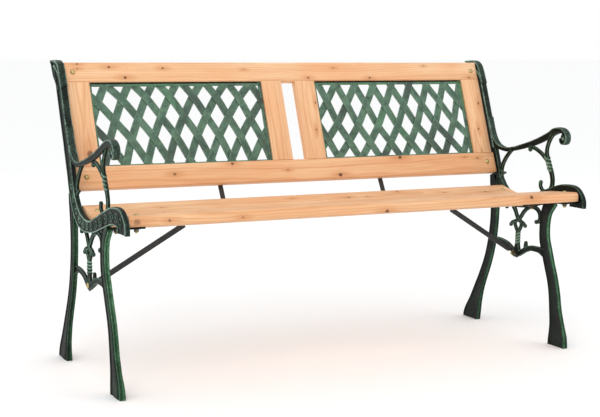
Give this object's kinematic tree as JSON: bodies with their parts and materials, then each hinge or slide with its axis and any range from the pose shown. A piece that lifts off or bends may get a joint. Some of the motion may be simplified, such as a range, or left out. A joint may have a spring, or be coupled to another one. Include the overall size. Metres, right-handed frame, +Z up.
{
  "type": "garden bench",
  "caption": "Two-seat garden bench with scrolled cast side frames, timber seat slats and a leaning timber back with woven lattice panels.",
  "frame": {"origin": "on the ground, midway between the two side frames and midway between the front of the seat and the back of the crowns", "axes": "+X from the left side frame to the right one as seen from in front of the bench, +Y towards the back, +Z up"},
  "size_m": [1.22, 0.5402, 0.73],
  "materials": {
    "iron": "black-green paint with lighter green brushed over the raised edges",
    "timber": "clear oiled knotty fir",
    "lattice": "mottled green resin",
    "steel": "satin black",
    "brass": "bright plated"
  },
  "bodies": {
    "root": {"left_side_frame": "iron", "right_side_frame": "iron", "top_back_rail": "timber", "lower_back_rail": "timber", "left_outer_stile": "timber", "left_inner_stile": "timber", "right_inner_stile": "timber", "right_outer_stile": "timber", "left_lattice": "lattice", "right_lattice": "lattice", "front_seat_slat": "timber", "middle_seat_slat": "timber", "rear_seat_slat": "timber", "left_strap": "steel", "right_strap": "steel", "left_brace": "steel", "right_brace": "steel", "seat_bolts": "brass", "seat_washers": "brass", "seat_nuts": "brass", "back_bolts": "brass", "back_washers": "brass", "back_nuts": "brass", "brace_bolts": "brass", "brace_washers": "brass", "brace_nuts": "brass", "strap_screws": "steel", "brace_screws": "steel", "stile_dowels": "timber"}
  },
  "joints": []
}
